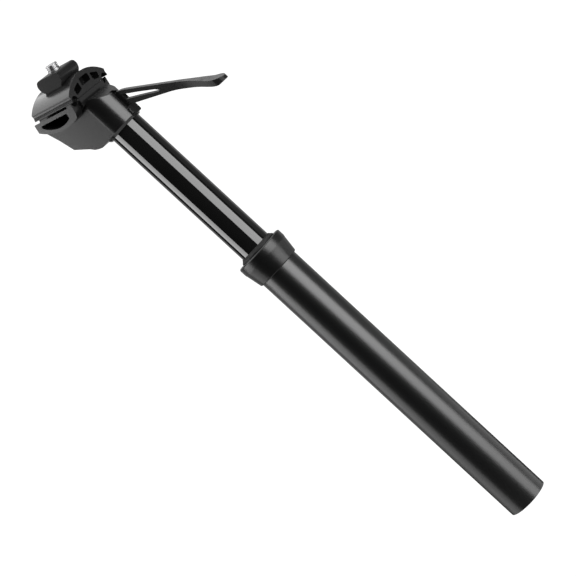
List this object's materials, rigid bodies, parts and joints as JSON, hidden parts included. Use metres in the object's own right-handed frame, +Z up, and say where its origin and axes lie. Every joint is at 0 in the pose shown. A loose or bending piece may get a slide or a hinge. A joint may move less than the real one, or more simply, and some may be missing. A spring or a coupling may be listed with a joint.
{
  "type": "dropper seatpost",
  "caption": "Telescoping bicycle seatpost: a stanchion slides in an outer tube on a lockable gas spring, freed by a lever under a setback rail clamp that tilts.",
  "frame": {"origin": "centre of the outer tube's lower end, on the post's axis", "axes": "+Z up the post, towards the saddle clamp; +X forward, the side the lever is on; +Y to the rider's left"},
  "size_m": [0.1229, 0.053, 0.4468],
  "materials": {
    "satin_black": "satin black anodised",
    "gloss_black": "polished black hard-anodised",
    "forged_black": "blasted matte black anodised",
    "plain_aluminium": "turned",
    "steel": "zinc plated",
    "hard_chrome": "polished",
    "bushing": "dry bearing liner",
    "key_brass": "turned",
    "guide_plastic": "moulded",
    "foam": "oiled open foam",
    "seal_rubber": "matte"
  },
  "bodies": {
    "outer_post": {"outer_tube": "satin_black", "seal_collar": "satin_black", "wiper_seal": "seal_rubber", "foam_ring": "foam", "upper_bushing": "bushing", "bottom_plug": "plain_aluminium", "retaining_ring": "steel", "rod_bolt": "steel", "piston_rod": "hard_chrome", "piston": "plain_aluminium", "piston_seal": "seal_rubber", "piston_nut": "steel", "bottom_bumper": "seal_rubber"},
    "upper_post": {"stanchion": "gloss_black", "guide_sleeve": "guide_plastic", "anti_rotation_keys": "key_brass", "cylinder_retainer": "plain_aluminium", "gas_cylinder": "steel", "liner": "plain_aluminium", "rod_guide": "plain_aluminium", "rod_seal": "seal_rubber", "valve_body": "key_brass", "cylinder_spacer": "guide_plastic", "head": "forged_black", "pivot_pin": "steel", "valve_spring": "steel"},
    "lever": {"release_lever": "forged_black"},
    "valve": {"valve_pin": "steel"},
    "rail_clamp": {"lower_clamp": "forged_black", "upper_clamp": "forged_black", "rocker_washer": "forged_black", "flat_washer": "steel", "lock_washer": "steel", "clamp_bolt": "steel", "clamp_nut": "steel"}
  },
  "joints": [
    {"name": "post_drop", "type": "slide", "parent": "outer_post", "child": "upper_post", "axis": [0, 0, 1], "range_m": [-0.115, 0], "stiffness_N_per_m": 200, "springref_m": 0.4},
    {"name": "lever_lift", "type": "hinge", "parent": "upper_post", "child": "lever", "pos_m": [0.0105, 0, 0.3956], "axis": [0, -1, 0], "range_deg": [0, 12], "stiffness_Nm_per_rad": 0.3, "springref_deg": -11.46},
    {"name": "valve_press", "type": "slide", "parent": "upper_post", "child": "valve", "axis": [0, 0, -1], "range_m": [0, 0.0026], "deforming": ["valve_spring"]},
    {"name": "saddle_tilt", "type": "hinge", "parent": "upper_post", "child": "rail_clamp", "pos_m": [-0.00704, 0, 0.43672], "axis": [0, 1, 0], "range_deg": [-5, 5]}
  ],
  "couplings": [
    {"joint": "valve_press", "follows": "lever_lift", "m_per_rad": 0.012}
  ]
}
